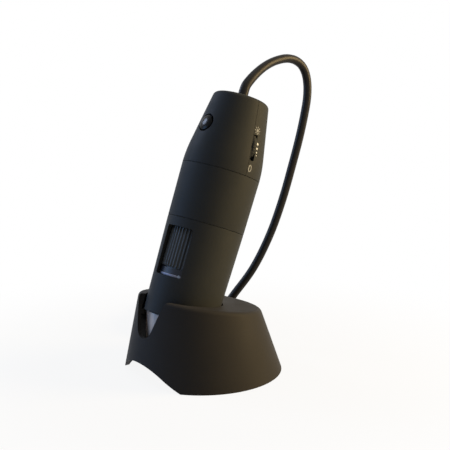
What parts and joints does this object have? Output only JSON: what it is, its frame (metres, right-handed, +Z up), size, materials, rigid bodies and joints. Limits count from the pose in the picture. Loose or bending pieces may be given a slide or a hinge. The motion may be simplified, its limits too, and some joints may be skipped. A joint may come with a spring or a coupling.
{
  "type": "usb digital microscope",
  "caption": "Handheld USB digital microscope leaning in a round cradle, with focus ring, snapshot button, brightness thumbwheel and coiled cable.",
  "frame": {"origin": "on the table, under the middle of the box that the cradle and the microscope fill", "axes": "+Z up; -Y to the front, where the cradle has its notch and the microscope its window and button; +X to the side with the thumbwheel"},
  "size_m": [0.144, 0.1119, 0.1409],
  "materials": {
    "soft_black": "soft touch coat on moulded ABS",
    "cradle_black": "soft touch coat on moulded ABS",
    "gloss_black": "polished",
    "ring_black": "moulded, satin",
    "scale_silver": "satin",
    "nose_grey": "frosted, slightly translucent",
    "inner_black": "matte",
    "lens_glass": "polished",
    "board_green": "solder mask",
    "led_clear": "clear epoxy over a white die",
    "chip_black": "moulded",
    "steel": "bright",
    "ribbon_amber": "polyimide film",
    "white_plastic": "moulded",
    "switch_cream": "moulded",
    "cable_black": "smooth flexible PVC",
    "tie_black": "hook and loop tape"
  },
  "bodies": {
    "cradle": {"cradle_shell": "cradle_black", "cable_coil": "cable_black", "cable_tail": "cable_black", "cable_tie": "tie_black", "plug_relief": "cable_black", "plug_overmould": "cable_black", "plug_shell": "steel", "plug_tongue": "white_plastic"},
    "microscope": {"lower_barrel": "soft_black", "mid_barrel": "soft_black", "upper_back_shell": "soft_black", "upper_front_shell": "soft_black", "nose_cap": "nose_grey", "led_board": "board_green", "led_1": "led_clear", "led_2": "led_clear", "led_3": "led_clear", "led_4": "led_clear", "led_5": "led_clear", "led_6": "led_clear", "led_7": "led_clear", "led_8": "led_clear", "sensor_holder": "inner_black", "guide_pin_1": "steel", "guide_pin_2": "steel", "sensor_board": "board_green", "image_sensor": "chip_black", "sensor_ribbon": "ribbon_amber", "main_board": "board_green", "controller_chip": "chip_black", "crystal_can": "steel", "cable_connector": "white_plastic", "board_screw_1": "steel", "board_screw_2": "steel", "snap_switch": "chip_black", "dial_potentiometer": "chip_black", "cable_grommet": "cable_black", "cable_free_run": "cable_black"},
    "focus_ring": {"focus_ring": "ring_black", "scale_ring": "scale_silver"},
    "lens_carrier": {"lens_carrier": "inner_black", "front_lens": "lens_glass", "rear_lens": "lens_glass"},
    "snap_button": {"button_cap": "gloss_black", "switch_plunger": "switch_cream"},
    "brightness_dial": {"brightness_dial": "ring_black"}
  },
  "joints": [
    {"name": "microscope_lift", "type": "slide", "parent": "cradle", "child": "microscope", "axis": [0, 0.342, 0.9397], "range_m": [0, 0.06]},
    {"name": "focus_turn", "type": "hinge", "parent": "microscope", "child": "focus_ring", "pos_m": [0, -0.00418, 0.05121], "axis": [0, 0.342, 0.9397], "range_deg": [-150, 150]},
    {"name": "lens_travel", "type": "slide", "parent": "microscope", "child": "lens_carrier", "axis": [0, 0.342, 0.9397], "range_m": [-0.006, 0.006]},
    {"name": "button_press", "type": "slide", "parent": "microscope", "child": "snap_button", "axis": [0, 0.8666, -0.499], "range_m": [0, 0.0005], "stiffness_N_per_m": 2000, "springref_m": -0.0002},
    {"name": "dial_turn", "type": "hinge", "parent": "microscope", "child": "brightness_dial", "pos_m": [0.00892, 0.01504, 0.09977], "axis": [0, 0.9397, -0.342], "range_deg": [-135, 135]}
  ],
  "couplings": [
    {"joint": "focus_turn", "follows": "lens_travel", "rad_per_m": 436.33}
  ]
}
